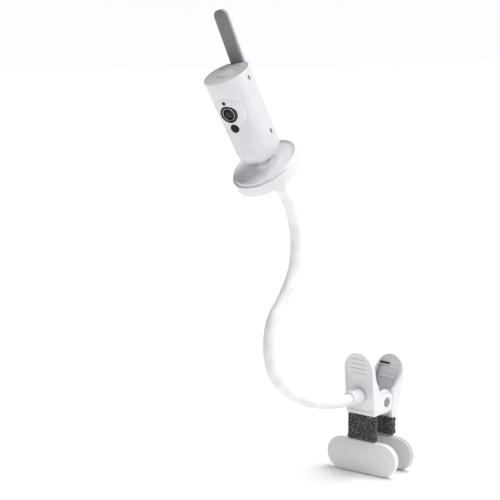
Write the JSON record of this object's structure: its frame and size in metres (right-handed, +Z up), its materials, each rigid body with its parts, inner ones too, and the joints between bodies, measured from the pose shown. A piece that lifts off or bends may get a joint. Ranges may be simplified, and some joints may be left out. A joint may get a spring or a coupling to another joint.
{
  "type": "clip-on baby monitor camera",
  "caption": "Baby monitor camera with a fold-back antenna on a round tilting base, carried by a bendable arm on a spring clip with wide padded jaws for a cot rail.",
  "frame": {"origin": "middle of the front jaw pad's face, where the clip meets the rail", "axes": "+Z up, +X along the rail, +Y from the front pad towards the rear pad; the arm and the camera stand in front, towards -Y"},
  "size_m": [0.0931, 0.2653, 0.4956],
  "materials": {
    "white_plastic": "smooth white moulding, satin sheen",
    "satin_white_plastic": "soft white rubber sleeve and grip pads",
    "grey_plastic": "grey moulding",
    "dark_plastic": "black moulding",
    "black_fabric": "black woven band",
    "dark_rubber": "dark rubber foot",
    "steel": "plated steel",
    "dark_glass": "dark polished window",
    "circuit_board": "green circuit board"
  },
  "bodies": {
    "clip_front": {"front_clip_shell": "white_plastic", "front_jaw_plate": "white_plastic", "front_jaw_pad": "satin_white_plastic", "front_grip_sleeve": "black_fabric", "front_jaw_screw": "steel", "pivot_pin": "steel", "pivot_pin_cap": "steel", "arm_socket": "white_plastic", "arm_socket_nut": "steel", "arm_sleeve_0": "satin_white_plastic", "arm_core_0": "steel"},
    "clip_rear": {"rear_clip_shell": "white_plastic", "rear_jaw_plate": "white_plastic", "rear_jaw_pad": "satin_white_plastic", "rear_grip_sleeve": "black_fabric", "rear_jaw_screw": "steel", "torsion_spring": "steel"},
    "arm_link_1": {"arm_sleeve_1": "satin_white_plastic", "arm_core_1": "steel"},
    "arm_link_2": {"arm_sleeve_2": "satin_white_plastic", "arm_core_2": "steel"},
    "arm_link_3": {"arm_sleeve_3": "satin_white_plastic", "arm_core_3": "steel"},
    "arm_link_4": {"arm_sleeve_4": "satin_white_plastic", "arm_core_4": "steel"},
    "holder": {"arm_sleeve_5": "satin_white_plastic", "arm_core_5": "steel", "arm_ferrule": "white_plastic", "holder_cup": "white_plastic", "holder_screw": "steel"},
    "base": {"base_shell": "white_plastic", "base_cover": "satin_white_plastic", "base_foot_ring": "dark_rubber", "base_weight": "steel", "ball_socket": "dark_plastic", "power_inlet": "dark_plastic"},
    "ball": {"ball_stud": "grey_plastic"},
    "head": {"housing": "white_plastic", "top_cap": "grey_plastic", "lens_bezel": "dark_plastic", "lens_glass": "dark_glass", "lens_barrel": "dark_plastic", "ir_window": "dark_glass", "light_sensor": "dark_glass", "ir_lamp": "dark_glass", "sensor_board": "circuit_board", "main_board": "circuit_board", "speaker": "dark_plastic", "microphone": "steel", "swivel_keeper": "steel", "antenna_pin": "steel"},
    "antenna": {"antenna": "grey_plastic"},
    "top_button": {"top_button": "grey_plastic"},
    "power_button": {"power_button": "grey_plastic"},
    "pairing_button": {"pairing_button": "grey_plastic"}
  },
  "joints": [
    {"name": "rear_jaw_pivot", "type": "hinge", "parent": "clip_front", "child": "clip_rear", "pos_m": [0, 0.0128, 0.0551], "axis": [1, 0, 0], "range_deg": [-15, 22], "stiffness_Nm_per_rad": 1.2, "springref_deg": -20.05, "deforming": ["torsion_spring"]},
    {"name": "arm_bend_1", "type": "hinge", "parent": "clip_front", "child": "arm_link_1", "pos_m": [0, -0.06565, 0.06979], "axis": [1, 0, 0], "range_deg": [-12, 12]},
    {"name": "arm_bend_2", "type": "hinge", "parent": "arm_link_1", "child": "arm_link_2", "pos_m": [0, -0.13352, 0.09825], "axis": [0, 0.5759, 0.8175], "range_deg": [-12, 12]},
    {"name": "arm_bend_3", "type": "hinge", "parent": "arm_link_2", "child": "arm_link_3", "pos_m": [0, -0.16608, 0.16005], "axis": [1, 0, 0], "range_deg": [-12, 12]},
    {"name": "arm_bend_4", "type": "hinge", "parent": "arm_link_3", "child": "arm_link_4", "pos_m": [0, -0.12555, 0.22021], "axis": [0, 0.9397, -0.3421], "range_deg": [-12, 12]},
    {"name": "arm_bend_5", "type": "hinge", "parent": "arm_link_4", "child": "holder", "pos_m": [0.00004, -0.13673, 0.29101], "axis": [1, 0, 0], "range_deg": [-12, 12]},
    {"name": "base_lift", "type": "slide", "parent": "holder", "child": "base", "axis": [-0.2039, -0.4971, 0.8434], "range_m": [0, 0.02]},
    {"name": "ball_tilt", "type": "hinge", "parent": "base", "child": "ball", "pos_m": [-0.00749, -0.16221, 0.33051], "axis": [-0.973, 0.0081, -0.2305], "range_deg": [-32, 10]},
    {"name": "head_swivel", "type": "hinge", "parent": "ball", "child": "head", "pos_m": [-0.00749, -0.16221, 0.33051], "axis": [-0.2197, -0.3356, 0.916], "range_deg": [-175, 175]},
    {"name": "antenna_fold", "type": "hinge", "parent": "head", "child": "antenna", "pos_m": [-0.0313, -0.17153, 0.4239], "axis": [-0.9663, -0.0544, -0.2517], "range_deg": [-8, 140]},
    {"name": "top_button_press", "type": "slide", "parent": "head", "child": "top_button", "axis": [0.2197, 0.3356, -0.916], "range_m": [0, 0.0008], "stiffness_N_per_m": 800, "springref_m": -0.0006},
    {"name": "power_button_press", "type": "slide", "parent": "head", "child": "power_button", "axis": [0.1343, -0.9404, -0.3123], "range_m": [0, 0.0008], "stiffness_N_per_m": 400, "springref_m": -0.0006},
    {"name": "pairing_button_press", "type": "slide", "parent": "head", "child": "pairing_button", "axis": [0.1343, -0.9404, -0.3123], "range_m": [0, 0.0008], "stiffness_N_per_m": 400, "springref_m": -0.0006}
  ]
}
